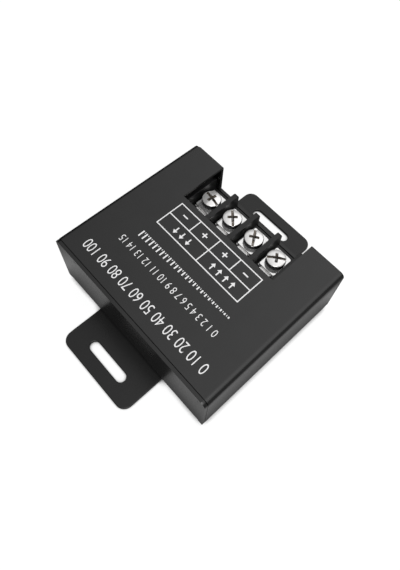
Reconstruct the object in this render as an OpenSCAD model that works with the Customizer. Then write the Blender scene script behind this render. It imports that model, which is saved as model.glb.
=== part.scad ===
// LED strip controller in a folded sheet-metal case with a four-way barrier terminal block.
// Millimetres. +Z is up, the origin is at the bottom centre of the case, and the terminals face -Y.

/* [Case] */
// Outer width across the cover's side walls
case_w = 62; // [58:1:80]
// Length over the two end walls
case_l = 53.8; // [50:0.2:80]
// Height of the closed case
case_h = 24; // [23:0.5:32]
// Thickness of the sheet that the cover and tray are folded from
sheet_t = 1; // [0.8:0.1:1.2]
// Outer radius of the cover's two top folds
cover_fold_r = 1.7; // [1.4:0.1:2.5]
// Outer radius of the cover's bottom folds and the tray's folds
low_fold_r = 1.4; // [1.3:0.1:2]
// Gap between the cover's edges and the tray's walls
case_gap = 0.15; // [0.05:0.05:0.3]
// How far the rear wall's edge lies below the cover's top
rear_drop = 0.15; // [0.05:0.05:0.5]
// How far the front wall's edge lies below the cover's top
front_drop = 1.5; // [1:0.1:2]
// Width of the cover's inward bottom flanges
flange_w = 9; // [7:0.5:11]

/* [Terminal opening] */
// Width of the opening in the cover
notch_w = 37; // [35:0.5:40]
// Sideways place of that opening's middle
notch_x = -0.1; // [-0.5:0.1:0.5]
// Depth of the opening from the cover's front edge
notch_l = 16; // [15:0.5:18]
// Width of the opening in the front wall
gate_w = 37.2; // [36:0.2:40]
// Sideways place of that opening's middle
gate_x = 0.3; // [-0.5:0.1:0.5]

/* [Mounting strap] */
// Width of the strap
strap_w = 29; // [26:0.5:36]
// Length of the strap over both ears
strap_l = 80.8; // [78:0.2:110]
// Thickness of the strap
strap_t = 1; // [0.8:0.1:1.5]
// Radius of the ears' corners
strap_corner_r = 3; // [2:0.5:5]
// Sideways place of the rear ear's middle
strap_x = 0.85; // [-1:0.05:1]
// How far the front ear stands to the side of the rear one
front_ear_shift = 0.7; // [-1:0.1:1]
// Lengthwise place of the strap's middle
strap_y = 0.5; // [-0.5:0.1:0.5]
// Width of each fixing slot
slot_w = 3.2; // [3:0.1:3.6]
// Length of each fixing slot over its round ends
slot_l = 15.4; // [12:0.2:18]
// Distance from each slot's middle to its ear's end
slot_inset = 5.55; // [5:0.05:6]
// How far both slots stand towards the terminals from these places
slot_shift = 0.3; // [0:0.1:0.5]

/* [Terminals] */
// Distance between neighbouring terminals
terminal_pitch = 9.5; // [9.5:0.1:10.5]
// Sideways place of the terminal block's middle
block_x = 1.9; // [1:0.1:2]
// Length of the block from front to rear
block_l = 15; // [14.6:0.2:16]
// Height of the block's floor above the board
block_h = 5.6; // [5:0.1:6.5]
// Thickness of the barriers between terminals
barrier_t = 1.6; // [1.4:0.1:1.9]
// Height of the barriers above the block's floor
barrier_h = 5.6; // [5:0.1:7]
// How far the barriers reach out into the front wall's opening
barrier_reach = 0.6; // [0.2:0.1:1]
// Distance from the block's front to the screws' axes
screw_inset = 6.1; // [5.8:0.1:6.6]
// Diameter of the screws' threads
screw_d = 3.5; // [3:0.1:3.6]
// Pitch of the screws' threads, which sets how far one turn lifts a screw
screw_pitch = 0.6; // [0.5:0.1:0.7]
// Length of the screws under their heads
screw_l = 6.8; // [6:0.1:7.2]
// Diameter of the screws' heads
head_d = 6.2; // [6:0.1:6.6]
// Height of the screws' heads
head_h = 1.9; // [1.8:0.1:2.6]
// Rise of the heads' crowns
head_crown = 0.5; // [0.3:0.1:0.8]
// Radius of the heads' edges
head_edge_r = 0.4; // [0.2:0.1:0.6]
// Thickness of the spring lock washers
washer_t = 0.7; // [0.6:0.1:1.1]
// Outer diameter of the spring lock washers
washer_d = 6; // [5.6:0.1:6.4]
// Side of the square clamp plates, across the block
plate_w = 6.1; // [5.8:0.1:6.5]
// Length of the clamp plates, along the wire
plate_l = 8.1; // [7.6:0.1:8.4]
// Thickness of the clamp plates
plate_t = 1.2; // [1:0.1:1.4]
// Width of the contacts under the clamp plates
contact_w = 6.6; // [6.2:0.1:7]
// Thickness of the contacts
contact_t = 0.9; // [0.8:0.1:1]
// Width of the contacts' front tongues and tails
tongue_w = 4.2; // [3.8:0.1:4.6]

/* [Board] */
// Thickness of the circuit board
board_t = 1.6; // [1.2:0.1:1.8]
// Height of the standoffs between the tray and the board
standoff_h = 2; // [1.8:0.1:2.6]
// Width across the flats of the standoffs
standoff_af = 5; // [4.6:0.1:5.4]
// Diameter of the board's and the cover's screws
small_screw_d = 2.5; // [2.2:0.1:2.6]
// Distance from the board's screws to its edges
board_screw_inset = 3.6; // [3.4:0.1:4]
// Gap between the board and the case's walls
board_gap = 0.5; // [0.3:0.1:0.8]
// Thickness of the insulating sheet on the tray
insulator_t = 0.25; // [0.2:0.05:0.4]

/* [Components] */
// Width of the power transistors
transistor_w = 10; // [9.5:0.1:10.4]
// Length of the power transistors' moulded bodies
transistor_l = 9.2; // [8.8:0.1:9.4]
// Height of the power transistors' moulded bodies
transistor_h = 4.5; // [4.3:0.1:4.7]
// Length of the tab that stands out of each body
tab_l = 6.3; // [6:0.1:6.5]
// Thickness of the transistors' tabs
tab_t = 1.3; // [1.2:0.1:1.4]
// Diameter of the smoothing capacitors
capacitor_d = 8; // [7:0.5:8.5]
// Height of the smoothing capacitors
capacitor_h = 12; // [10:0.5:14]
// Width of the copper bars that carry the load current
bar_w = 2; // [1.6:0.1:2.2]
// Height of those copper bars
bar_h = 1.2; // [1:0.1:1.6]
// Length of the receiver module
receiver_l = 12; // [11:0.5:13]
// Width of the receiver module
receiver_w = 8; // [7.6:0.2:8.6]
// Height of the pin strip under the receiver module
header_h = 2.5; // [2:0.1:3]

/* [Hidden] */
$fn = 48;
terminal_count = 4;

// Overrun that carries every cut clear of the faces it goes through
over = 0.5;
// Radial clearance of a running thread, drawn plain
thread_gap = 0.05;
// Clearance round pieces that drop through a hole or slot
drop_gap = 0.1;
// How far the front wall's ledge stands above the block's floor
block_lip = 0.3;
// How far the contacts reach past their clamp plates at the front
contact_toe = 0.7;
// Gap between the clamp plates and the contacts' folds, and how high the folds stand over the seats
fold_gap = 0.3;
fold_rise = 0.55;
// Gap between pieces that stand beside each other on the board
part_gap = 0.6;
// Diameter and height of the board screws' heads, the rise of their crowns and radius of their edges
pan_d = 4.5;
pan_h = 1.6;
pan_crown = 0.5;
pan_edge_r = 0.3;

// Heights, from the surface that the strap lies on
tray_z = strap_t;
tray_top = tray_z + sheet_t;
insulator_top = tray_top + insulator_t;
board_z = tray_top + standoff_h;
board_top = board_z + board_t;
block_floor = board_top + block_h;
contact_top = block_floor + contact_t;
fold_top = contact_top + fold_rise;
plate_top = contact_top + plate_t;
head_z = plate_top + washer_t;
rear_top = case_h - rear_drop;
front_top = case_h - front_drop;
gate_z = block_floor + block_lip;

// Plan of the case
wall_y = case_l / 2 - sheet_t;
cover_y = wall_y - case_gap;
inner_x = case_w / 2 - sheet_t;
tray_x = inner_x - (low_fold_r - sheet_t) - case_gap;
flange_x = case_w / 2 - flange_w;
notch_y = -cover_y + notch_l;

// Plan of the board
board_w = 2 * (inner_x - board_gap);
board_l = 2 * (wall_y - board_gap);
board_screw_x = board_w / 2 - board_screw_inset;
board_screw_y = board_l / 2 - board_screw_inset;
board_hole_r = small_screw_d / 2 + drop_gap;

// Plan of the terminal block
block_front = -wall_y + drop_gap;
block_rear = block_front + block_l;
screw_y = block_front + screw_inset;
contact_front = screw_y - plate_l / 2 - contact_toe;
fold_front = screw_y + plate_l / 2 + fold_gap;
tail_front = fold_front + contact_t;
contact_rear = tail_front + contact_t;
// How far the contacts' tails reach below the board
tail_below = 1;
// Radial gap round the screws' shanks in the block
well_gap = 0.4;
// Thickness of the block's floor below the screws' wells
well_floor = 0.9;

// The board's front screws stand behind the terminal block, so that it may be as wide as the board
front_screw_y = block_rear + part_gap + pan_d / 2;

function terminal_x(i) = block_x + ((terminal_count + 1) / 2 - i) * terminal_pitch;

// Plain helpers

// Rectangle from one corner to the other with its own radius at the low and at the high corners
module soft_rectangle(low, high, low_r, high_r) {
  size = high - low;
  translate([low.x, low.y + low_r]) square([size.x, size.y - low_r - high_r]);
  if (low_r > 0) {
    translate([low.x + low_r, low.y]) square([size.x - 2 * low_r, low_r]);
    for (x = [low.x + low_r, high.x - low_r]) translate([x, low.y + low_r]) circle(low_r);
  }
  if (high_r > 0) {
    translate([low.x + high_r, high.y - high_r]) square([size.x - 2 * high_r, high_r]);
    for (x = [low.x + high_r, high.x - high_r]) translate([x, high.y - high_r]) circle(high_r);
  }
}

// Stadium-shaped outline lying along X
module stadium(length, width) {
  square([length - width, width], center = true);
  for (side = [-1, 1]) translate([side * (length - width) / 2, 0]) circle(width / 2);
}

// Extrusion of an outline in X and Z along Y
module along_y(y0, y1) {
  translate([0, y1, 0]) rotate([90, 0, 0]) linear_extrude(y1 - y0) children();
}

// Extrusion of an outline in Y and Z along X
module along_x(x0, x1) {
  translate([x0, 0, 0]) rotate([90, 0, 90]) linear_extrude(x1 - x0) children();
}

// Box from one corner to the other
module block_from(low, high) {
  translate(low) cube(high - low);
}

module at_corners(x, y) {
  for (sx = [-1, 1]) for (sy = [-1, 1]) translate([sx * x, sy * y, 0]) children();
}

module at_board_screws() {
  for (side = [-1, 1]) for (y = [front_screw_y, board_screw_y])
    translate([side * board_screw_x, y, 0]) children();
}

// Mounting strap, spot-welded flat under the tray: its two ears stand a little out of line
module ear(side) {
  difference() {
    if (side > 0) {
      soft_rectangle([-strap_w / 2, -strap_corner_r], [strap_w, strap_l] / 2, 0, strap_corner_r);
    } else {
      soft_rectangle([-strap_w, -strap_l] / 2, [strap_w / 2, strap_corner_r], strap_corner_r, 0);
    }
    translate([0, side * (strap_l / 2 - slot_inset) - slot_shift]) stadium(slot_l, slot_w);
  }
}

module mounting_strap() {
  color([0.2, 0.2, 0.21])
  translate([strap_x, strap_y, 0])
  linear_extrude(strap_t)
  union() {
    ear(1);
    translate([front_ear_shift, 0]) ear(-1);
  }
}

// Base tray: floor and two end walls, folded from one sheet
module tray_outline() {
  difference() {
    soft_rectangle([-case_l / 2, tray_z], [case_l / 2, rear_top], low_fold_r, 0);
    soft_rectangle([-wall_y, tray_top], [wall_y, case_h + over], low_fold_r - sheet_t, 0);
    translate([-case_l / 2 - over, front_top]) square([sheet_t + 2 * over, case_h]);
  }
}

// The walls' ends reach half-way down the floor's fold
module end_wall(y0, top) {
  along_y(y0, y0 + sheet_t)
  difference() {
    soft_rectangle([-case_w / 2, tray_z + low_fold_r / 2], [case_w / 2, top], 0, cover_fold_r);
    translate([-tray_x, -over]) square([2 * tray_x, tray_z + low_fold_r + over]);
  }
}

module base_tray() {
  color([0.24, 0.24, 0.25])
  difference() {
    union() {
      along_x(-tray_x, tray_x) tray_outline();
      end_wall(wall_y, rear_top);
      end_wall(-wall_y - sheet_t, front_top);
    }
    block_from([gate_x - gate_w / 2, -case_l / 2 - over, gate_z],
      [gate_x + gate_w / 2, -wall_y + over, case_h]);
    at_corners(cover_screw_x, cover_screw_y) translate([0, 0, tray_z - over])
      cylinder(h = sheet_t + 2 * over, d = small_screw_d);
    at_board_screws() translate([0, 0, tray_z - over])
      cylinder(h = sheet_t + 2 * over, d = standoff_stem_d);
  }
}

// Top cover: top, two side walls and bottom flanges, folded from one sheet
module cover_outline() {
  difference() {
    soft_rectangle([-case_w / 2, 0], [case_w / 2, case_h], low_fold_r, cover_fold_r);
    soft_rectangle([-inner_x, sheet_t], [inner_x, case_h - sheet_t],
      low_fold_r - sheet_t, cover_fold_r - sheet_t);
    translate([-flange_x, -over]) square([2 * flange_x, sheet_t + 2 * over]);
  }
}

module top_cover() {
  color([0.22, 0.22, 0.23])
  difference() {
    along_y(-cover_y, cover_y) cover_outline();
    block_from([notch_x - notch_w / 2, -cover_y - over, case_h - sheet_t - over],
      [notch_x + notch_w / 2, notch_y, case_h + over]);
    at_corners(cover_screw_x, cover_screw_y) {
      cylinder(h = sheet_t, d1 = sink_d, d2 = small_screw_d);
      translate([0, 0, -over]) cylinder(h = over, d = sink_d);
    }
  }
}

// Cover screws: countersunk, driven up through the flanges into the tray
cover_screw_x = case_w / 2 - flange_w / 2;
// Share of the cover's half length at which its screws stand
cover_screw_share = 0.6;
cover_screw_y = cover_screw_share * cover_y;
// The countersink is a right-angled cone as deep as the sheet
sink_d = small_screw_d + 2 * sheet_t;
// Length of the cover screws over their heads
cover_screw_l = 2.2;
// Wing length, wing width and depth of the small screws' cross recesses
small_cross_l = 2;
small_cross_w = 0.5;
small_cross_depth = 0.7;

module cross(length, width, depth) {
  for (turn = [0, 90]) rotate(turn) translate([-length / 2, -width / 2, 0]) cube([length, width, depth]);
}

module cover_screws() {
  color([0.3, 0.3, 0.31])
  at_corners(cover_screw_x, cover_screw_y)
  difference() {
    union() {
      cylinder(h = sheet_t, d1 = sink_d, d2 = small_screw_d);
      translate([0, 0, sheet_t]) cylinder(h = cover_screw_l - sheet_t, d = small_screw_d);
    }
    translate([0, 0, -over]) cross(small_cross_l, small_cross_w, small_cross_depth + over);
  }
}

// Insulating sheet between the tray and the board
// Clearance of the sheet round the standoffs
insulator_gap = 0.6;

module insulating_sheet() {
  color([0.85, 0.83, 0.75])
  difference() {
    block_from([-board_w / 2, -board_l / 2 + drop_gap, tray_top],
      [board_w / 2, board_l / 2 - drop_gap, insulator_top]);
    at_board_screws() translate([0, 0, tray_z])
      cylinder(h = standoff_h, r = standoff_af / 2 + insulator_gap);
    at_corners(cover_screw_x, cover_screw_y) translate([0, 0, tray_z])
      cylinder(h = standoff_h, r = small_screw_d / 2 + insulator_gap);
  }
}

// Board standoffs: hexagonal posts riveted through the tray
// Diameter of the riveted stem
standoff_stem_d = 3.6;

module board_standoffs() {
  color([0.75, 0.68, 0.45])
  at_board_screws()
  difference() {
    union() {
      translate([0, 0, tray_z]) cylinder(h = sheet_t, d = standoff_stem_d);
      translate([0, 0, tray_top]) cylinder(h = standoff_h, d = standoff_af / cos(30), $fn = 6);
    }
    translate([0, 0, tray_z - over]) cylinder(h = sheet_t + standoff_h + 2 * over, d = small_screw_d);
  }
}

// Circuit board with its screw holes, tail slots and lead holes
module circuit_board() {
  color([0.1, 0.35, 0.2])
  difference() {
    block_from([-board_w / 2, -board_l / 2, board_z], [board_w / 2, board_l / 2, board_top]);
    translate([0, 0, board_z - over]) {
      at_board_screws() cylinder(h = board_t + 2 * over, r = board_hole_r);
      for (i = [1 : terminal_count])
        block_from([terminal_x(i) - tail_slot_w / 2, tail_front - drop_gap, 0],
          [terminal_x(i) + tail_slot_w / 2, contact_rear + drop_gap, board_t + 2 * over]);
    }
  }
}
tail_slot_w = tongue_w + 2 * drop_gap;

// Board screws: pan heads down on the board, threads in the standoffs
module board_screws() {
  color([0.8, 0.8, 0.8])
  at_board_screws()
  difference() {
    union() {
      translate([0, 0, insulator_top]) cylinder(h = board_top - insulator_top, d = small_screw_d);
      translate([0, 0, board_top]) pan_head(pan_d, pan_h, pan_crown, pan_edge_r);
    }
    translate([0, 0, board_top + pan_h - small_cross_depth]) cross(small_cross_l, small_cross_w, pan_h);
  }
}

// Round head: straight side, rounded edge and a low crown that meet without a crease
module pan_head(width, height, crown, edge_r) {
  crown_r = (pow(width / 2, 2) + pow(crown, 2)) / (2 * crown);
  edge_x = width / 2 - edge_r;
  edge_z = height - crown_r + sqrt(pow(crown_r - edge_r, 2) - pow(edge_x, 2));
  rotate_extrude()
  intersection() {
    square([width / 2, height]);
    union() {
      square([width / 2, edge_z]);
      translate([edge_x, edge_z]) circle(edge_r);
      intersection() {
        square([edge_x * crown_r / (crown_r - edge_r), height]);
        translate([0, height - crown_r]) circle(crown_r, $fn = 192);
      }
    }
  }
}

// Terminal block: base, barriers and a low rear rail, moulded in one
block_half = (terminal_count * terminal_pitch + barrier_t) / 2;
// Radius of the barriers' front tips
barrier_tip_r = 1.1;
// Height of the rear rail above the block's floor
rail_h = 0.7;
// Thickness of the rear rail, and of the block's outer skin below
rail_t = 1.4;
// Height of the hollow under the block
core_h = 2.4;

module barrier_outline(front) {
  soft_rectangle([front, board_top], [block_rear, block_floor + barrier_h], 0, barrier_tip_r);
}

// Barrier: where the front wall is open, its tip reaches out between the opening's sides
module barrier(x) {
  along_x(x - barrier_t / 2, x + barrier_t / 2) barrier_outline(block_front);
  intersection() {
    along_x(x - barrier_t / 2, x + barrier_t / 2) barrier_outline(block_front - barrier_reach);
    block_from([gate_x - gate_w / 2 + drop_gap, -case_l / 2 - over, gate_z + drop_gap],
      [gate_x + gate_w / 2 - drop_gap, screw_y, case_h]);
  }
}

module terminal_block() {
  color([0.12, 0.12, 0.13])
  difference() {
    union() {
      block_from([block_x - block_half, block_front, board_top],
        [block_x + block_half, block_rear, block_floor]);
      block_from([block_x - block_half, block_rear - rail_t, board_top],
        [block_x + block_half, block_rear, block_floor + rail_h]);
      for (i = [0 : terminal_count]) barrier(block_x + (i - terminal_count / 2) * terminal_pitch);
    }
    for (i = [1 : terminal_count]) {
      translate([terminal_x(i), screw_y, board_top + well_floor])
        cylinder(h = block_h, r = screw_d / 2 + well_gap);
      block_from([terminal_x(i) - tail_slot_w / 2, tail_front - drop_gap, board_z],
        [terminal_x(i) + tail_slot_w / 2, contact_rear + drop_gap, block_floor + over]);
      block_from([terminal_x(i) - core_w / 2, block_front + rail_t, board_z],
        [terminal_x(i) + core_w / 2, screw_y - screw_d / 2 - well_gap - rail_t, board_top + core_h]);
    }
  }
}
core_w = terminal_pitch - 2 * barrier_t;

// Contacts: tapped seat with a front tongue, folded up behind the clamp plate and down into the board
module contact_outline() {
  translate([contact_front, block_floor]) square([tail_front - contact_front, contact_t]);
  translate([fold_front, block_floor]) square([contact_t, fold_top - block_floor]);
  translate([tail_front, board_z - tail_below])
    square([contact_t, fold_top - contact_t - board_z + tail_below]);
  translate([tail_front, fold_top - contact_t]) intersection() {
    circle(contact_t);
    square(contact_t);
  }
}

module contact(i) {
  color([0.8, 0.8, 0.78])
  translate([terminal_x(i), 0, 0])
  difference() {
    union() {
      block_from([-contact_w / 2, screw_y - plate_l / 2, block_floor],
        [contact_w / 2, screw_y + plate_l / 2, contact_top]);
      along_x(-tongue_w / 2, tongue_w / 2) contact_outline();
    }
    translate([0, screw_y, block_floor - over])
      cylinder(h = contact_t + 2 * over, r = screw_d / 2 + thread_gap);
  }
}

// Clamp plates: square, captive under the screws, grooved below to bite the wire
// Radius of the plates' corners, and width and depth of their grooves
plate_corner_r = 0.5;
groove_w = 0.4;
groove_depth = 0.2;
// Radial gap round the screw in its plate
plate_gap = 0.15;

module clamp_plate(i) {
  color([0.85, 0.85, 0.83])
  translate([terminal_x(i), screw_y, contact_top])
  difference() {
    linear_extrude(plate_t)
      soft_rectangle([-plate_w, -plate_l] / 2, [plate_w, plate_l] / 2, plate_corner_r, plate_corner_r);
    translate([0, 0, -over]) cylinder(h = plate_t + 2 * over, r = screw_d / 2 + plate_gap);
    for (side = [-1, 1]) for (step = [1, 2])
      translate([-plate_w / 2 - over, side * (plate_l / 2 - step * 2 * groove_w) - groove_w / 2, -over])
        cube([plate_w + 2 * over, groove_w, groove_depth + over]);
  }
}

// Lock washers: split spring rings between each head and its plate
// Width of the split, its slope from upright, and radial gap round the screw
split_w = 0.5;
split_slope = 25;
washer_gap = 0.1;

module lock_washer(i) {
  color([0.75, 0.75, 0.75])
  translate([terminal_x(i), screw_y, plate_top])
  difference() {
    cylinder(h = washer_t, d = washer_d);
    translate([0, 0, -over]) cylinder(h = washer_t + 2 * over, r = screw_d / 2 + washer_gap);
    translate([washer_d / 2, 0, washer_t / 2]) rotate([split_slope, 0, 0])
      cube([washer_d, split_w, 2 * washer_t + 2 * over], center = true);
  }
}

// Terminal screws: low crowned heads with a cross recess that runs out into a slot
// Length, width and depth of the cross, and width and depth of the slot
cross_l = 3.4;
cross_w = 0.9;
cross_depth = 1.6;
slot_cut_w = 0.8;
slot_cut_depth = 0.8;
// Depth of a thread as a share of its pitch: the shank's tip is chamfered as deep
thread_depth_share = 0.61;
tip_chamfer = thread_depth_share * screw_pitch;
// Turn of each screw's slot from the block's length, as it was last tightened
slot_turns = [-9, -42, -55, 38];

module terminal_screw(i) {
  color([0.88, 0.87, 0.85])
  translate([terminal_x(i), screw_y, head_z])
  difference() {
    union() {
      pan_head(head_d, head_h, head_crown, head_edge_r);
      translate([0, 0, tip_chamfer - screw_l]) cylinder(h = screw_l - tip_chamfer, d = screw_d);
      translate([0, 0, -screw_l]) cylinder(h = tip_chamfer, d1 = screw_d - 2 * tip_chamfer, d2 = screw_d);
    }
    rotate(slot_turns[i - 1]) {
      translate([-head_d, -slot_cut_w / 2, head_h - slot_cut_depth]) cube([2 * head_d, slot_cut_w, head_h]);
      intersection() {
        translate([0, 0, head_h - cross_depth]) cross(cross_l, cross_w, head_h);
        translate([0, 0, head_h - cross_depth])
          cylinder(h = head_h, d1 = cross_w, d2 = cross_l * head_h / cross_depth);
      }
    }
  }
}

// Power transistors: four in a row, lying on the board with their leads towards the terminals
transistor_count = 4;
transistor_pitch = board_w / transistor_count;
// Reach of the leads before they turn down, their width, thickness and spacing
lead_reach = 1.8;
lead_w = 0.8;
lead_t = 0.5;
lead_pitch = 2.54;
// The leads' feet stand behind the board's front screws
transistor_y = front_screw_y + pan_d / 2 + part_gap + lead_reach;
// Diameter of the hole in each tab
tab_hole_d = 3.6;

function transistor_x(i) = (i - (transistor_count + 1) / 2) * transistor_pitch;

module transistor_tab_shape() {
  difference() {
    translate([-transistor_w / 2, lead_reach, 0])
      cube([transistor_w, transistor_l - lead_reach + tab_l, tab_t]);
    translate([0, transistor_l + tab_l / 2, -over]) cylinder(h = tab_t + 2 * over, d = tab_hole_d);
  }
}

module transistor_bodies() {
  color([0.12, 0.12, 0.12])
  for (i = [1 : transistor_count]) translate([transistor_x(i), transistor_y, board_top])
  difference() {
    translate([-transistor_w / 2, 0, 0]) cube([transistor_w, transistor_l, transistor_h]);
    translate([-transistor_w, lead_reach, -over]) cube([2 * transistor_w, transistor_l, tab_t + over]);
  }
}

module transistor_tabs() {
  color([0.75, 0.75, 0.76])
  for (i = [1 : transistor_count]) translate([transistor_x(i), transistor_y, board_top])
    transistor_tab_shape();
}

module transistor_leads() {
  color([0.8, 0.8, 0.8])
  for (i = [1 : transistor_count]) for (side = [-1 : 1])
  translate([transistor_x(i) + side * lead_pitch, transistor_y, board_top])
  along_x(-lead_w / 2, lead_w / 2) {
    translate([-lead_reach, transistor_h / 2]) square([lead_reach, lead_t]);
    translate([-lead_reach, 0]) square([lead_t, transistor_h / 2 + lead_t]);
  }
}

// Copper bars between the terminals' tails and the transistors, each out to a board screw
// Distance from the board's middle to each bar
bar_inner = 2.4;
bar_outer = board_screw_x - pan_d / 2 - part_gap;

module copper_bars() {
  color([0.85, 0.5, 0.3])
  for (side = [-1, 1])
  translate([side * (bar_inner + bar_outer) / 2, block_rear + part_gap + bar_w / 2, board_top + bar_h / 2])
    cube([bar_outer - bar_inner, bar_w, bar_h], center = true);
}

// Rear row: what stands between the transistors' tabs and the rear wall
rear_row_y = (transistor_y + transistor_l + tab_l + board_l / 2) / 2;
// Body of the microcontroller
chip_size = [6.2, 3.9, 1.4];
// Widths in the row from -X to +X, set between the board's rear screws with even gaps
row_widths = [capacitor_d, capacitor_d, chip_size.x, receiver_l];
row_span = 2 * board_screw_x - pan_d;
row_gap = (row_span - sum_of(row_widths, len(row_widths))) / (len(row_widths) + 1);

function sum_of(list, count) = count > 0 ? list[count - 1] + sum_of(list, count - 1) : 0;
function row_x(i) = (i + 1) * row_gap + sum_of(row_widths, i) + (row_widths[i] - row_span) / 2;

// Smoothing capacitors: aluminium cans in shrunk sleeves
// Thickness of the sleeve and how far it laps over the can's top
sleeve_t = 0.2;
sleeve_lap = 0.8;
// Width and depth of the pressure vent's grooves
vent_w = 0.4;
vent_depth = 0.2;

module at_capacitors() {
  for (i = [0, 1]) translate([row_x(i), rear_row_y, board_top]) children();
}

module capacitor_cans() {
  color([0.78, 0.78, 0.8])
  at_capacitors()
  difference() {
    translate([0, 0, sleeve_t]) cylinder(h = capacitor_h - 2 * sleeve_t, d = capacitor_d - 2 * sleeve_t);
    translate([0, 0, capacitor_h - sleeve_t - vent_depth])
      cross(capacitor_d - 2 * sleeve_lap - 2 * vent_w, vent_w, vent_depth + over);
  }
}

module capacitor_sleeves() {
  color([0.1, 0.12, 0.2])
  at_capacitors()
  difference() {
    cylinder(h = capacitor_h, d = capacitor_d);
    translate([0, 0, sleeve_t]) cylinder(h = capacitor_h - 2 * sleeve_t, d = capacitor_d - 2 * sleeve_t);
    translate([0, 0, sleeve_t]) cylinder(h = capacitor_h, d = capacitor_d - 2 * sleeve_lap);
  }
}

// Microcontroller: moulded body on two rows of folded leads
chip_lift = 0.2;
chip_lead_w = 0.42;
chip_lead_pitch = 1.27;
chip_lead_t = 0.22;
chip_lead_reach = 1;
chip_leads = 4;

module at_microcontroller() {
  translate([row_x(2), rear_row_y, board_top]) children();
}

module microcontroller() {
  color([0.13, 0.13, 0.13])
  at_microcontroller() translate([-chip_size.x, -chip_size.y, 2 * chip_lift] / 2) cube(chip_size);
}

module microcontroller_leads() {
  color([0.8, 0.8, 0.8])
  at_microcontroller()
  for (turn = [0, 180]) rotate(turn) for (step = [0 : chip_leads - 1])
  translate([(step - (chip_leads - 1) / 2) * chip_lead_pitch, chip_size.y / 2, 0])
  along_x(-chip_lead_w / 2, chip_lead_w / 2) {
    translate([0, chip_size.z / 2]) square([chip_lead_reach / 2, chip_lead_t]);
    translate([chip_lead_reach / 2 - chip_lead_t, 0]) square([chip_lead_t, chip_size.z / 2 + chip_lead_t]);
    translate([chip_lead_reach / 2 - chip_lead_t, 0])
      square([chip_lead_reach / 2 + chip_lead_t, chip_lead_t]);
  }
}

// Voltage regulator beside the terminal block, with its soldered tab
regulator_size = [5.6, 6.2, 2.2];
regulator_tab_size = [5, 2, 0.5];
regulator_x = (block_x - block_half - board_w / 2) / 2;
regulator_y = block_rear - part_gap - regulator_size.y / 2;
regulator_foot = regulator_y - regulator_size.y / 2 - regulator_tab_size.y;

module voltage_regulator() {
  color([0.12, 0.12, 0.12])
  translate([regulator_x - regulator_size.x / 2, regulator_y - regulator_size.y / 2, board_top])
    cube(regulator_size);
}

module regulator_tab() {
  color([0.8, 0.8, 0.8])
  translate([regulator_x - regulator_tab_size.x / 2, regulator_foot, board_top])
    cube(regulator_tab_size);
}

// Protection diode in front of the regulator: moulded body on two flat folded leads
diode_size = [4.2, 2.6, 2.1];
diode_lead_w = 1.4;
diode_lead_t = 0.25;
diode_y = regulator_foot - part_gap - diode_size.y / 2;

module protection_diode() {
  color([0.12, 0.12, 0.12])
  translate([regulator_x - diode_size.x / 2, diode_y - diode_size.y / 2, board_top])
    cube(diode_size);
}

module diode_leads() {
  color([0.8, 0.8, 0.8])
  for (turn = [0, 180]) translate([regulator_x, diode_y, board_top]) rotate(turn)
    translate([diode_size.x / 2, -diode_lead_w / 2, 0]) cube([diode_lead_t, diode_lead_w, diode_size.z / 2]);
}

// Receiver module: small board on a pin strip, with its shield can
receiver_t = 0.8;
// Width of the pin strip
header_w = 2.5;
// Margin of the shield can inside the small board, its height and wall
shield_margin = 1;
shield_h = 1.8;
shield_t = 0.2;

module at_receiver() {
  translate([row_x(3), rear_row_y, board_top]) children();
}

module receiver_header() {
  color([0.1, 0.1, 0.1])
  at_receiver() translate([-receiver_l / 2, -receiver_w / 2, 0]) cube([receiver_l, header_w, header_h]);
}

module receiver_board() {
  color([0.08, 0.2, 0.45])
  at_receiver() translate([-receiver_l / 2, -receiver_w / 2, header_h])
    cube([receiver_l, receiver_w, receiver_t]);
}

module receiver_shield() {
  color([0.8, 0.8, 0.78])
  at_receiver() translate([0, 0, header_h + receiver_t])
  difference() {
    translate([shield_margin - receiver_l / 2, shield_margin - receiver_w / 2, 0])
      cube([receiver_l - 2 * shield_margin, receiver_w - 2 * shield_margin, shield_h]);
    translate([shield_margin + shield_t - receiver_l / 2, shield_margin + shield_t - receiver_w / 2, -over])
      cube([receiver_l - 2 * shield_margin - 2 * shield_t, receiver_w - 2 * shield_margin - 2 * shield_t,
        shield_h - shield_t + over]);
  }
}

// Chip parts: a short row on each side of the microcontroller
chip_part = [2, 1.25];
chip_resistor_h = 0.5;
chip_capacitor_h = 1;
chip_part_pitch = 2.5;
chip_part_count = 3;
chip_row_offset = (chip_size.y + part_gap + chip_part.y) / 2 + chip_lead_reach;

module chip_parts(offset_y, height) {
  at_microcontroller()
  for (step = [0 : chip_part_count - 1])
    translate([(step - (chip_part_count - 1) / 2) * chip_part_pitch, offset_y, height / 2])
      cube([chip_part.x, chip_part.y, height], center = true);
}

module chip_resistors() {
  color([0.15, 0.15, 0.15])
  chip_parts(chip_row_offset, chip_resistor_h);
}

module chip_capacitors() {
  color([0.7, 0.6, 0.45])
  chip_parts(-chip_row_offset, chip_capacitor_h);
}

mounting_strap();
base_tray();
top_cover();
cover_screws();
insulating_sheet();
board_standoffs();
circuit_board();
board_screws();
terminal_block();
contact(1);  // contact_1
contact(2);  // contact_2
contact(3);  // contact_3
contact(4);  // contact_4
clamp_plate(1);  // clamp_plate_1
clamp_plate(2);  // clamp_plate_2
clamp_plate(3);  // clamp_plate_3
clamp_plate(4);  // clamp_plate_4
lock_washer(1);  // lock_washer_1
lock_washer(2);  // lock_washer_2
lock_washer(3);  // lock_washer_3
lock_washer(4);  // lock_washer_4
terminal_screw(1);  // terminal_screw_1
terminal_screw(2);  // terminal_screw_2
terminal_screw(3);  // terminal_screw_3
terminal_screw(4);  // terminal_screw_4
copper_bars();
transistor_bodies();
transistor_tabs();
transistor_leads();
capacitor_cans();
capacitor_sleeves();
microcontroller();
microcontroller_leads();
voltage_regulator();
regulator_tab();
protection_diode();
diode_leads();
receiver_header();
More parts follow.
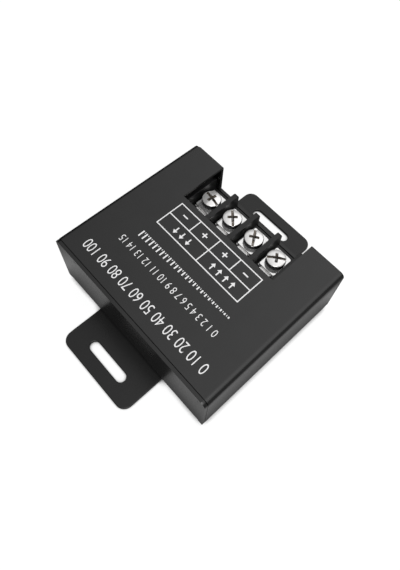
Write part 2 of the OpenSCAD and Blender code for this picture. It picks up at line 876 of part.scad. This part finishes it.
receiver_board();
receiver_shield();
chip_resistors();
chip_capacitors();
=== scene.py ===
"""The looks of an LED strip controller: a folded dark case, a barrier terminal block and white print."""
import math

import bmesh
import bpy
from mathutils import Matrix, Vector


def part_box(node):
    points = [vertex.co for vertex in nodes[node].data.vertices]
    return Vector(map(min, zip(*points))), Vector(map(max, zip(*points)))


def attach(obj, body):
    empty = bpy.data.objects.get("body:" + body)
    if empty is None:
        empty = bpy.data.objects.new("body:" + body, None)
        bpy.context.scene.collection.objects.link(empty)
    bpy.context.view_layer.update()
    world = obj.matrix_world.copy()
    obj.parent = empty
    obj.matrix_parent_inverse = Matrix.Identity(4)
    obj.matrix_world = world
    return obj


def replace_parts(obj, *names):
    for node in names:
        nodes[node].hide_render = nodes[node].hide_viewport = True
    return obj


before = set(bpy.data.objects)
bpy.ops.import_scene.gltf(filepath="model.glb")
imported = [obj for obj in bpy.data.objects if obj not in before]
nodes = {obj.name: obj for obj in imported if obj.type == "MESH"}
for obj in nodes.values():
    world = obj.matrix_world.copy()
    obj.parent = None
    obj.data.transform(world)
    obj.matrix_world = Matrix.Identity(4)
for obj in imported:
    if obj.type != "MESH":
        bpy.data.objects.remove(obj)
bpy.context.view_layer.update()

MM = 0.001
TERMINALS = (1, 2, 3, 4)

# Camera, fitted to the photograph's edges
CAMERA_PLACE = Vector((-47.32, 48.82, 153.31)) * MM
CAMERA_TURN = [math.radians(a) for a in (30.11, -3.88, -133.45)]
CAMERA_LENS = 33.0
CAMERA_SENSOR = 36.0
CAMERA_SHIFT = (-0.0387, -0.0888)
CAMERA_CLIP = (0.001, 20.0)

# Terminal screws: the crown's top, rise and radius
HEAD_TOP = 15.9 * MM
HEAD_CROWN = 0.5 * MM
HEAD_R = 2.92 * MM

# Lamp, in metres and watts
KEY_PLACE = (-0.34, 0.25, 0.62)
KEY_SIZE = 0.45
KEY_POWER = 2.8

# Room: its brightness overhead, how that changes with direction, its least and most, and the heights
# between which it rises from the horizon's share to the full value
ROOM_LEVEL = 0.964
ROOM_SLOPE = (-0.865, -0.62, 0.0)
ROOM_LIMITS = (0.15, 1.3)
ROOM_EDGE = (0.5, 0.68)
HORIZON_SHARE = 0.2

# Floor: half its size, how far it lies below the object, its own greys and the white that it gives
FLOOR_HALF = 3.0
FLOOR_DROP = 0.02 * MM
FLOOR_GREYS = (0.16, 0.18)
FLOOR_WHITE = 0.88

# Painted shadow that the object leaves on the floor's glow: its reach, and how open a place is where it
# starts and ends
CONTACT_REACH = 2.5 * MM
CONTACT_RANGE = (0.33, 0.72)

# Floor in reflections, with painted shade in its glow: its share of the white, its shade in corners, and
# how it dims right beside the case and far from it
FLOOR_GLOSS = 0.4
SHADE_REACH = 6.0 * MM
SHADE_POWER = 3.0
NEAR_RANGE = (0.0, 4.0 * MM)
NEAR_SHARE = 0.3
FAR_RANGE = (3.0 * MM, 14.0 * MM)
FAR_SHARE = 0.2

# Where the cover's side walls begin to lean towards their top folds, and how fast the slope grows in 1/m
EASE_START = 18.0 * MM
EASE_RATE = 41.0

# Modifiers that break edges
SAME_PLACE = 0.001 * MM
FLAT_ANGLE = math.radians(0.5)
SHARP_ANGLE = math.radians(35)
EDGE_STEPS = 3

# Print on the cover: the ink's depth, and the table's lines and signs
INK_DEPTH = 0.015 * MM
LINE_W = 0.33 * MM
TABLE_X = [x * MM for x in (-16.6, -8.3, 0.0, 8.3, 16.6)]
TABLE_Y = [y * MM for y in (-7.63, -2.87, 2.03)]
SIGN_Y = -5.25 * MM
SIGN_REACH = 0.95 * MM
SIGN_W = 0.42 * MM

# Arrows in the table's wide cells
ARROWS_OUT_X = [x * MM for x in (-12.2, -9.6, -7.0, -4.4)]
ARROWS_IN_X = [x * MM for x in (5.7, 8.3, 10.9)]
ARROW_Y = -0.25 * MM
ARROW_REACH = 1.2 * MM
ARROW_NECK = 0.15 * MM
ARROW_W = 0.4 * MM
ARROW_WING = 0.8 * MM

# Lines of figures: what they say, their middle, and the figures' height and the line's width
NUMBERS = (" ".join(str(n) for n in range(0, 101, 10)), (0.0, 20.65 * MM), 3.3 * MM, 49.3 * MM)
SMALL_NUMBERS = (" ".join(str(n) for n in range(16)), (0.05 * MM, 12.45 * MM), 2.3 * MM, 39.1 * MM)
FIGURE_SHARE = 0.7
STROKE_TRIM = 0.012

# Row of growing bars with ticks between them
SCALE_START = -18.3 * MM
SCALE_L = 34.9 * MM
SCALE_Y = 6.6 * MM
SCALE_LAST = 48
BAR_W = 0.42 * MM
BAR_H = 0.55 * MM
BAR_GROWTH = 1.75 * MM
TICK_W = 0.2 * MM
TICK_H = 0.45 * MM


# Small helpers

def middle(name):
    """The middle of a node's box."""
    low, high = (Vector(corner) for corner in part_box(name))
    return (low + high) / 2


def link(obj):
    """Puts a new object in the scene."""
    bpy.context.scene.collection.objects.link(obj)
    return obj


def mesh_object(name, bm, material):
    """Makes an object of one material from a finished bmesh."""
    data = bpy.data.meshes.new(name)
    bm.to_mesh(data)
    bm.free()
    data.materials.append(material)
    return link(bpy.data.objects.new(name, data))


class Tree:
    """Short calls that add nodes to one node tree."""

    def __init__(self, tree, coords):
        self.tree = tree
        self.coords = self.add("ShaderNodeTexCoord").outputs[coords]

    def add(self, kind, inputs=(), **settings):
        node = self.tree.nodes.new(kind)
        for key, value in settings.items():
            setattr(node, key, value)
        for key, value in dict(inputs).items():
            self.feed(node.inputs[key], value)
        return node

    def feed(self, socket, value):
        if isinstance(value, bpy.types.NodeSocket):
            self.tree.links.new(value, socket)
        else:
            socket.default_value = value

    def noise(self, scale, detail=3.0, roughness=0.5, vector=None):
        found = self.add("ShaderNodeTexNoise", {"Vector": vector or self.coords, "Scale": scale,
                                                "Detail": detail, "Roughness": roughness})
        return found.outputs["Fac"]

    def vector(self, operation, first, second):
        return self.add("ShaderNodeVectorMath", {0: first, 1: second}, operation=operation).outputs

    def stretched(self, scale):
        return self.vector("MULTIPLY", self.coords, scale)[0]

    def math(self, operation, first, second):
        return self.add("ShaderNodeMath", {0: first, 1: second}, operation=operation).outputs[0]

    def span(self, factor, low, high, ends=(0.0, 1.0), soft=False):
        """Carries a value that runs between the two ends over to low and high."""
        found = self.add("ShaderNodeMapRange", {"Value": factor, "From Min": ends[0], "From Max": ends[1],
                                                "To Min": low, "To Max": high})
        found.interpolation_type = "SMOOTHSTEP" if soft else "LINEAR"
        return found.outputs["Result"]

    def mix(self, factor, first, second):
        found = self.add("ShaderNodeMix", data_type="RGBA")
        for name, value in (("Factor", factor), ("A", first), ("B", second)):
            self.feed([s for s in found.inputs if s.name == name and s.enabled][0], value)
        return [s for s in found.outputs if s.enabled][0]

    def bump(self, height, strength, distance, before=None):
        inputs = {"Height": height, "Strength": strength, "Distance": distance}
        if before is not None:
            inputs["Normal"] = before
        return self.add("ShaderNodeBump", inputs).outputs["Normal"]

    def spot(self, centre, radius):
        """One inside a small ellipsoid, falling to nought at its border."""
        away = self.vector("SUBTRACT", self.coords, [c * MM for c in centre])[0]
        scaled = self.vector("MULTIPLY", away, [1 / (r * MM) for r in radius])[0]
        return self.span(self.vector("LENGTH", scaled, (0, 0, 0))["Value"], 1.0, 0.0, (0.5, 1.0), True)

    def open_share(self, distance):
        """One in the open, less close to other things."""
        return self.add("ShaderNodeAmbientOcclusion", {"Distance": distance}, samples=8).outputs["AO"]


class Nodes(Tree):
    """A new material's node tree."""

    def __init__(self, name):
        self.material = bpy.data.materials.new(name)
        self.material.use_nodes = True
        super().__init__(self.material.node_tree, "Object")
        self.shader = self.tree.nodes["Principled BSDF"]

    def set(self, **sockets):
        """Feeds the shader's sockets, named with _ for each space."""
        for name, value in sockets.items():
            self.feed(self.shader.inputs[name.replace("_", " ")], value)

    def polish(self, colour, rough, along, relief):
        """Fine marks in the gloss and faint stains in the colour of a bare metal."""
        marks = self.noise(2500.0, 4.0, 0.6, self.stretched(along))
        stains = self.noise(500.0, 3.0)
        tone = self.mix(stains, (*[c * 0.93 for c in colour], 1.0), (*colour, 1.0))
        self.set(Base_Color=tone, Roughness=self.span(marks, rough * 0.75, rough * 1.4),
                 Normal=self.bump(marks, relief, 0.01 * MM))
        return tone


def grey(value, warm=0.0):
    """A grey of the given value, turned slightly to brown where warm is above nought."""
    return (value * (1 + warm), value, value * (1 - warm), 1.0)


# Materials, whose noises have their scales in turns per metre

def coated_metal(name, low, high, rough=0.26, specular=0.5, marks=(), eased=False):
    """Dark satin coat on sheet metal: faint clouds, fine grain, softer patches and a few marks."""
    made = Nodes(name)
    clouds = made.noise(180.0, 4.0)
    grain = made.noise(7000.0, 2.0)
    patches = made.noise(60.0, 3.0)
    colour = made.mix(made.span(clouds, 0.0, 1.0, (0.3, 0.7)), grey(low), grey(high))
    blend = made.math("ADD", made.math("MULTIPLY", patches, 0.7), made.math("MULTIPLY", grain, 0.3))
    roughness = made.span(blend, rough - 0.05, rough + 0.05)
    for centre, radius, tone in marks:
        mark = made.spot(centre, radius)
        colour = made.mix(mark, colour, grey(tone))
        roughness = made.math("MAXIMUM", roughness, made.math("MULTIPLY", mark, 0.7))
    normal = made.bump(grain, 0.1, 0.01 * MM)
    if eased:
        normal = made.bump(ease_to_fold(made), 1.0, 1.0, normal)
    made.set(Base_Color=colour, Roughness=roughness, Normal=normal)
    made.set(Metallic=0.0, IOR=1.5, Specular_IOR_Level=specular)
    return made.material


def ease_to_fold(made):
    """Height that leans the cover's side walls inwards below their top folds, as pressed sheet does."""
    height = made.add("ShaderNodeSeparateXYZ", {0: made.coords}).outputs["Z"]
    above = made.math("MAXIMUM", made.math("SUBTRACT", height, EASE_START), 0.0)
    return made.math("MULTIPLY", made.math("POWER", above, 2.0), -EASE_RATE / 2)


def moulded_plastic(name, value, rough, warm=0.0):
    """Moulded or pressed stuff with flow clouds and a fine spark."""
    made = Nodes(name)
    flow = made.noise(400.0, 4.0)
    spark = made.noise(6000.0, 2.0)
    colour = made.mix(flow, grey(value * 0.8, warm), grey(value * 1.25, warm))
    made.set(Base_Color=colour, Roughness=made.span(flow, rough - 0.08, rough + 0.08),
             Normal=made.bump(spark, 0.25, 0.02 * MM))
    return made.material


def bright_metal(name, colour, rough, along=(1.0, 1.0, 1.0), metallic=1.0, relief=0.1):
    """Plated or tinned metal with soft polish marks that run along one way."""
    made = Nodes(name)
    made.polish(colour, rough, along, relief)
    made.set(Metallic=metallic)
    return made.material


def below_crown(made):
    """How deep a point lies below the crown of its own screw, and how far it is from that screw's axis."""
    first = middle("terminal_screw_1")
    pitch = first.x - middle("terminal_screw_2").x
    place = made.add("ShaderNodeSeparateXYZ", {0: made.coords}).outputs
    across = made.math("PINGPONG", made.math("SUBTRACT", place["X"], first.x), pitch / 2)
    along = made.math("SUBTRACT", place["Y"], first.y)
    flat = made.add("ShaderNodeCombineXYZ", {"X": across, "Y": along}).outputs[0]
    radius = made.vector("LENGTH", flat, (0, 0, 0))["Value"]
    fall = made.math("MULTIPLY", made.math("POWER", made.math("DIVIDE", radius, HEAD_R), 2.0), HEAD_CROWN)
    crown = made.math("SUBTRACT", HEAD_TOP, fall)
    return made.math("SUBTRACT", crown, place["Z"]), radius


def screw_metal(name, colour, side, recess, painted_pit_shade):
    """Nickel plate that stays bright on the crown, with painted shade down the sides, and a brown stain in
    the recess that turns to painted shade with depth.
    """
    made = Nodes(name)
    tone = made.polish(colour, 0.18, (1.0, 1.0, 1.0), 0.05)
    shine = made.shader.inputs["Roughness"].links[0].from_socket
    # Painted shade: the flanks, found by their normal, are coloured near black in place of the shade and
    # dark reflection they catch.
    facing = made.add("ShaderNodeSeparateXYZ", {0: made.add("ShaderNodeNewGeometry").outputs["Normal"]})
    flank_shade_mask = made.span(facing.outputs["Z"], 1.0, 0.0, (0.6, 0.94), True)
    depth, radius = below_crown(made)
    deep = made.span(depth, 0.0, 1.0, (0.06 * MM, 0.3 * MM), True)
    inside = made.math("MULTIPLY", deep, made.math("LESS_THAN", radius, HEAD_R))
    stain = made.span(made.noise(1500.0, 2.0), 0.7, 1.0, (0.35, 0.55))
    # Brown stain in the recess that darkens with depth into painted shade at the bottom.
    recess_stain_and_shade = made.mix(made.span(depth, 0.0, 1.0, (0.6 * MM, 1.3 * MM), True), recess, painted_pit_shade)
    tone = made.mix(flank_shade_mask, tone, side)
    plain = made.math("SUBTRACT", 1.0, flank_shade_mask)
    made.set(Base_Color=made.mix(made.math("MULTIPLY", inside, stain), tone, recess_stain_and_shade),
             Metallic=made.math("MULTIPLY", plain, 0.6),
             Roughness=made.math("MAXIMUM", shine, made.span(flank_shade_mask, 0.0, 0.7)))
    return made.material


def print_ink(name):
    """White screen print, a little uneven in cover and gloss."""
    made = Nodes(name)
    cover = made.noise(1600.0, 3.0)
    made.set(Base_Color=made.mix(cover, grey(0.78), grey(0.86)), Roughness=made.span(cover, 0.45, 0.6),
             Normal=made.bump(cover, 0.15, 0.01 * MM))
    return made.material


def board_mask(name, colour):
    """Solder mask over a glass weave, with pale tracks showing through as faint bands."""
    made = Nodes(name)
    wave = made.add("ShaderNodeTexWave", {"Vector": made.coords, "Scale": 900.0, "Distortion": 0.4})
    tracks = made.noise(260.0, 1.0, vector=made.stretched((1.0, 0.25, 1.0)))
    dark = (*[c * 0.7 for c in colour], 1.0)
    made.set(Base_Color=made.mix(tracks, dark, (*colour, 1.0)), Roughness=0.32,
             Normal=made.bump(wave.outputs["Fac"], 0.1, 0.01 * MM))
    return made.material


# Small marks on the rear wall's face: centre and half size in mm, and tone
WALL_MARKS = (
    ((-28.45, 26.9, 21.5), (0.6, 0.6, 0.28), 0.001),
    ((-23.1, 26.9, 21.1), (0.35, 0.6, 0.3), 0.02),
    ((1.8, 26.9, 21.9), (0.3, 0.6, 0.25), 0.12),
    ((22.0, 26.9, 22.5), (1.1, 0.6, 0.35), 0.003),
)

MATERIALS = {
    "case": coated_metal("satin_case", 0.0025, 0.0045, specular=0.6, eased=True),
    "tray": coated_metal("satin_tray", 0.0025, 0.0045, specular=0.55, marks=WALL_MARKS),
    "strap": coated_metal("satin_strap", 0.0025, 0.004, 0.28, 0.45),
    "plastic": moulded_plastic("black_moulding", 0.0035, 0.4),
    "package": moulded_plastic("package_moulding", 0.012, 0.5),
    "plate": bright_metal("nickel_plate", (0.99, 0.985, 0.98), 0.09, metallic=0.78, relief=0.01),
    # grey(0.003) is painted shade on the screw flanks; the brown is the recess stain, and the darkest
    # colour is painted shade deep in the recess.
    "screw": screw_metal("nickel_screw", (0.97, 0.96, 0.95), grey(0.003), (0.13, 0.108, 0.085, 1.0),
                         (0.03, 0.024, 0.018, 1.0)),
    # Painted shade: the nickel lock washers are coloured near black, standing in for the shade and dark
    # reflection under the screw heads.
    "washer": bright_metal("washer_painted_shade", (0.006, 0.006, 0.006), 0.6, metallic=0.0, relief=0.05),
    "contact": bright_metal("tinned_contact", (0.99, 0.985, 0.98), 0.3, (1.0, 4.0, 1.0), 0.4, 0.05),
    "tinned": bright_metal("tinned_metal", (0.8, 0.79, 0.77), 0.34, (1.0, 4.0, 1.0)),
    "black_steel": coated_metal("blackened_steel", 0.012, 0.02, 0.35),
    "copper": bright_metal("bare_copper", (0.85, 0.48, 0.3), 0.25, (0.3, 1.0, 1.0)),
    "brass": bright_metal("turned_brass", (0.8, 0.62, 0.32), 0.22),
    "aluminium": bright_metal("drawn_aluminium", (0.8, 0.8, 0.81), 0.2, (1.0, 1.0, 0.1)),
    "sleeve": moulded_plastic("shrunk_sleeve", 0.02, 0.25),
    "green": board_mask("green_mask", (0.02, 0.16, 0.07)),
    "blue": board_mask("blue_mask", (0.02, 0.06, 0.25)),
    "fibre": moulded_plastic("pressed_fibre", 0.55, 0.7, 0.12),
    "ceramic": moulded_plastic("fired_ceramic", 0.4, 0.5, 0.25),
    "ink": print_ink("white_print"),
}

NODE_MATERIALS = {
    "tray": ["base_tray"],
    "strap": ["mounting_strap"],
    "plastic": ["terminal_block", "receiver_header"],
    "package": ["transistor_bodies", "microcontroller", "voltage_regulator", "protection_diode",
                "chip_resistors"],
    "plate": [f"clamp_plate_{i}" for i in TERMINALS],
    "screw": [f"terminal_screw_{i}" for i in TERMINALS],
    "washer": [f"lock_washer_{i}" for i in TERMINALS],
    "contact": [f"contact_{i}" for i in TERMINALS],
    "tinned": ["board_screws", "transistor_tabs", "transistor_leads", "microcontroller_leads",
               "regulator_tab", "diode_leads", "receiver_shield"],
    "black_steel": ["cover_screws"],
    "copper": ["copper_bars"],
    "brass": ["board_standoffs"],
    "aluminium": ["capacitor_cans"],
    "sleeve": ["capacitor_sleeves"],
    "green": ["circuit_board"],
    "blue": ["receiver_board"],
    "fibre": ["insulating_sheet"],
    "ceramic": ["chip_capacitors"],
}

# Width of the broken edge on each kind of node, in mm
EDGES = {"case": 0.2, "tray": 0.45, "strap": 0.22, "plastic": 0.18, "plate": 0.14, "screw": 0.08,
         "contact": 0.12, "tinned": 0.1, "package": 0.1}


def soften(obj, width):
    """Breaks a node's sharp edges, with its stored mesh left as it is."""
    weld = obj.modifiers.new("weld", "WELD")
    weld.merge_threshold = SAME_PLACE
    flat = obj.modifiers.new("flat", "DECIMATE")
    flat.decimate_type = "DISSOLVE"
    flat.angle_limit = FLAT_ANGLE
    bevel = obj.modifiers.new("edges", "BEVEL")
    bevel.width = width
    bevel.segments = EDGE_STEPS
    bevel.limit_method = "ANGLE"
    bevel.angle_limit = SHARP_ANGLE
    bevel.use_clamp_overlap = True
    normals = obj.modifiers.new("normals", "WEIGHTED_NORMAL")
    normals.keep_sharp = False


def dress_nodes():
    """Gives every CAD node its material, and some a broken edge."""
    for kind, names in NODE_MATERIALS.items():
        for name in names:
            obj = nodes[name]
            obj.data.materials.clear()
            obj.data.materials.append(MATERIALS[kind])
            if kind in EDGES:
                soften(obj, EDGES[kind] * MM)


# Cover

def make_cover():
    """Makes the cover with its top lower than the node's by the ink's depth, and returns the node's top."""
    bm = bmesh.new()
    bm.from_mesh(nodes["top_cover"].data)
    bmesh.ops.remove_doubles(bm, verts=bm.verts, dist=SAME_PLACE)
    top = max(v.co.z for v in bm.verts)
    for vert in bm.verts:
        if top - vert.co.z < SAME_PLACE:
            vert.co.z -= INK_DEPTH
    cover = mesh_object("cover_shell", bm, MATERIALS["case"])
    soften(cover, EDGES["case"] * MM)
    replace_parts(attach(cover, "case"), "top_cover")
    return top


# Print: thin plates of ink let into the cover's top

def ink_plate(bm, points, top):
    """Adds one flat plate with the given outline, counted anticlockwise from above."""
    upper = [bm.verts.new((x, y, top)) for x, y in points]
    lower = [bm.verts.new((x, y, top - 2 * INK_DEPTH)) for x, y in points]
    bm.faces.new(upper)
    bm.faces.new(lower[::-1])
    for i in range(len(points)):
        j = (i + 1) % len(points)
        bm.faces.new((lower[i], lower[j], upper[j], upper[i]))


def ink_bar(bm, start, end, width, top):
    """Adds one straight stroke."""
    start, end = Vector(start), Vector(end)
    along = (end - start).normalized()
    side = Vector((-along.y, along.x)) * width / 2
    ink_plate(bm, [start - side, end - side, end + side, start + side], top)


def keep_print(piece):
    """Lets a piece of print ride on the case."""
    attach(piece, "case")


def make_table(top):
    """Four narrow cells in front of two wide ones."""
    bm = bmesh.new()
    half = LINE_W / 2
    x0, x1 = TABLE_X[0], TABLE_X[-1]
    for y in TABLE_Y:
        ink_bar(bm, (x0 - half, y), (x1 + half, y), LINE_W, top)
    front, middle, rear = TABLE_Y
    for x in TABLE_X:
        ink_bar(bm, (x, front + half), (x, middle - half), LINE_W, top)
    for x in (x0, TABLE_X[2], x1):
        ink_bar(bm, (x, middle + half), (x, rear - half), LINE_W, top)
    keep_print(mesh_object("print_table", bm, MATERIALS["ink"]))


def make_signs(top):
    """Minus, plus, plus and minus, each in the middle of its narrow cell."""
    bm = bmesh.new()
    for i, plus in enumerate((False, True, True, False)):
        x = (TABLE_X[i] + TABLE_X[i + 1]) / 2
        ink_bar(bm, (x - SIGN_REACH, SIGN_Y), (x + SIGN_REACH, SIGN_Y), SIGN_W, top)
        if plus:
            ink_bar(bm, (x, SIGN_Y - SIGN_REACH), (x, SIGN_Y - SIGN_W / 2), SIGN_W, top)
            ink_bar(bm, (x, SIGN_Y + SIGN_W / 2), (x, SIGN_Y + SIGN_REACH), SIGN_W, top)
    keep_print(mesh_object("print_signs", bm, MATERIALS["ink"]))


def number_text(name, words, centre, height, width, top):
    """One line of plain figures, cast as a thin plate."""
    curve = bpy.data.curves.new(name, "FONT")
    curve.body = words
    curve.align_x = "CENTER"
    curve.align_y = "CENTER"
    curve.size = height / FIGURE_SHARE
    curve.extrude = INK_DEPTH
    curve.offset = -height * STROKE_TRIM
    text = link(bpy.data.objects.new(name, curve))
    bpy.context.view_layer.update()
    text.scale.x = width / text.dimensions.x
    text.location = (*centre, top - INK_DEPTH)
    bpy.context.view_layer.update()
    data = bpy.data.meshes.new_from_object(text.evaluated_get(bpy.context.evaluated_depsgraph_get()))
    data.transform(text.matrix_world)
    bpy.data.objects.remove(text)
    data.materials.clear()
    data.materials.append(MATERIALS["ink"])
    keep_print(link(bpy.data.objects.new(name, data)))


def make_scale(top):
    """Bars that grow along the row, with a tick between each two."""
    bm = bmesh.new()
    for i in range(SCALE_LAST + 1):
        share = i / SCALE_LAST
        x = SCALE_START + SCALE_L * share
        if i % 2:
            ink_bar(bm, (x, SCALE_Y), (x, SCALE_Y + TICK_H), TICK_W, top)
        else:
            ink_bar(bm, (x, SCALE_Y), (x, SCALE_Y + BAR_H + BAR_GROWTH * share), BAR_W, top)
    keep_print(mesh_object("print_scale", bm, MATERIALS["ink"]))


def make_arrows(top):
    """Arrows out of the box and into it, in the table's two wide cells."""
    bm = bmesh.new()
    for x, way in [(x, -1) for x in ARROWS_OUT_X] + [(x, 1) for x in ARROWS_IN_X]:
        tip = ARROW_Y + way * ARROW_REACH
        tail = ARROW_Y - way * ARROW_REACH
        neck = ARROW_Y + way * ARROW_NECK
        ink_bar(bm, (x, tail), (x, neck), ARROW_W, top)
        wing = way * ARROW_WING
        ink_plate(bm, [(x - wing, neck), (x + wing, neck), (x, tip)], top)
    keep_print(mesh_object("print_arrows", bm, MATERIALS["ink"]))


# Stage, light and camera

def floor_in_gloss(made):
    """How white the floor's glow is in reflections, with painted shade: dim in corners, right beside the
    case and far from it.
    """
    case_half = (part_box("top_cover")[1][0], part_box("base_tray")[1][1], 0.0)
    away = made.vector("SUBTRACT", made.vector("ABSOLUTE", made.coords, (0, 0, 0))[0], case_half)[0]
    away = made.vector("LENGTH", made.vector("MAXIMUM", away, (0, 0, 0))[0], (0, 0, 0))["Value"]
    wide = made.math("POWER", made.open_share(SHADE_REACH), SHADE_POWER)
    wide = made.math("MULTIPLY", wide, made.span(away, 1.0, FAR_SHARE, FAR_RANGE, True))
    wide = made.math("MULTIPLY", wide, made.span(away, NEAR_SHARE, 1.0, NEAR_RANGE))
    return made.math("MULTIPLY", wide, FLOOR_GLOSS)


def white_floor():
    """White paper whose glow is dimmed by a painted shadow where the object touches the floor."""
    made = Nodes("white_floor")
    path = made.add("ShaderNodeLightPath").outputs
    plain = made.math("MAXIMUM", path["Is Camera Ray"], path["Is Transmission Ray"])
    # Painted contact shadow: the glow that camera rays see is dimmed where the object closes the floor in.
    contact = made.span(made.open_share(CONTACT_REACH), 0.0, 1.0, CONTACT_RANGE)
    glow = made.math("ADD", made.math("MULTIPLY", plain, contact),
                     made.math("MULTIPLY", path["Is Glossy Ray"], floor_in_gloss(made)))
    paper = made.noise(40.0, 2.0)
    low, high = FLOOR_GREYS
    made.set(Base_Color=made.mix(paper, grey(low), grey(high)), Emission_Color=grey(1.0),
             Emission_Strength=made.math("MULTIPLY", glow, FLOOR_WHITE))
    made.set(Roughness=0.9, Specular_IOR_Level=0.0)
    return made.material


def make_stage():
    """A wide floor under the object."""
    bm = bmesh.new()
    bmesh.ops.create_grid(bm, x_segments=1, y_segments=1, size=FLOOR_HALF)
    floor = mesh_object("floor", bm, white_floor())
    floor.location.z = -FLOOR_DROP


def make_room():
    """A pale room that dims evenly towards one side and near the horizon, white behind the object."""
    world = bpy.data.worlds.new("soft_room")
    bpy.context.scene.world = world
    world.use_nodes = True
    room = Tree(world.node_tree, "Generated")
    slope = room.math("ADD", room.vector("DOT_PRODUCT", room.coords, ROOM_SLOPE)["Value"], ROOM_LEVEL)
    least, most = ROOM_LIMITS
    level = room.math("MINIMUM", room.math("MAXIMUM", slope, least), most)
    height = room.add("ShaderNodeSeparateXYZ", {0: room.coords}).outputs["Z"]
    lit = room.math("MULTIPLY", level, room.span(height, HORIZON_SHARE, 1.0, ROOM_EDGE, True))
    path = room.add("ShaderNodeLightPath").outputs
    plain = room.math("MAXIMUM", path["Is Camera Ray"], path["Is Transmission Ray"])
    sky = world.node_tree.nodes["Background"].inputs
    room.feed(sky["Strength"], room.span(plain, lit, 1.0))
    sky["Color"].default_value = grey(1.0)


def make_lamp(name, place, size, power):
    """A square soft lamp that looks at the object's middle."""
    lamp = bpy.data.lights.new(name, "AREA")
    lamp.size = size
    lamp.energy = power
    obj = link(bpy.data.objects.new(name, lamp))
    obj.location = place
    obj.rotation_mode = "QUATERNION"
    obj.rotation_quaternion = (-Vector(place)).to_track_quat("-Z", "Y")


def make_camera():
    """The photograph's view."""
    data = bpy.data.cameras.new("camera")
    data.lens = CAMERA_LENS
    data.sensor_width = CAMERA_SENSOR
    data.shift_x, data.shift_y = CAMERA_SHIFT
    data.clip_start, data.clip_end = CAMERA_CLIP
    camera = link(bpy.data.objects.new("camera", data))
    camera.location = CAMERA_PLACE
    camera.rotation_euler = CAMERA_TURN
    bpy.context.scene.camera = camera


make_camera()
make_stage()
make_room()
make_lamp("key", KEY_PLACE, KEY_SIZE, KEY_POWER)
bpy.context.scene.view_settings.view_transform = "Standard"
dress_nodes()
cover_top = make_cover()
make_table(cover_top)
make_signs(cover_top)
make_arrows(cover_top)
number_text("print_numbers", *NUMBERS, cover_top)
number_text("print_small_numbers", *SMALL_NUMBERS, cover_top)
make_scale(cover_top)
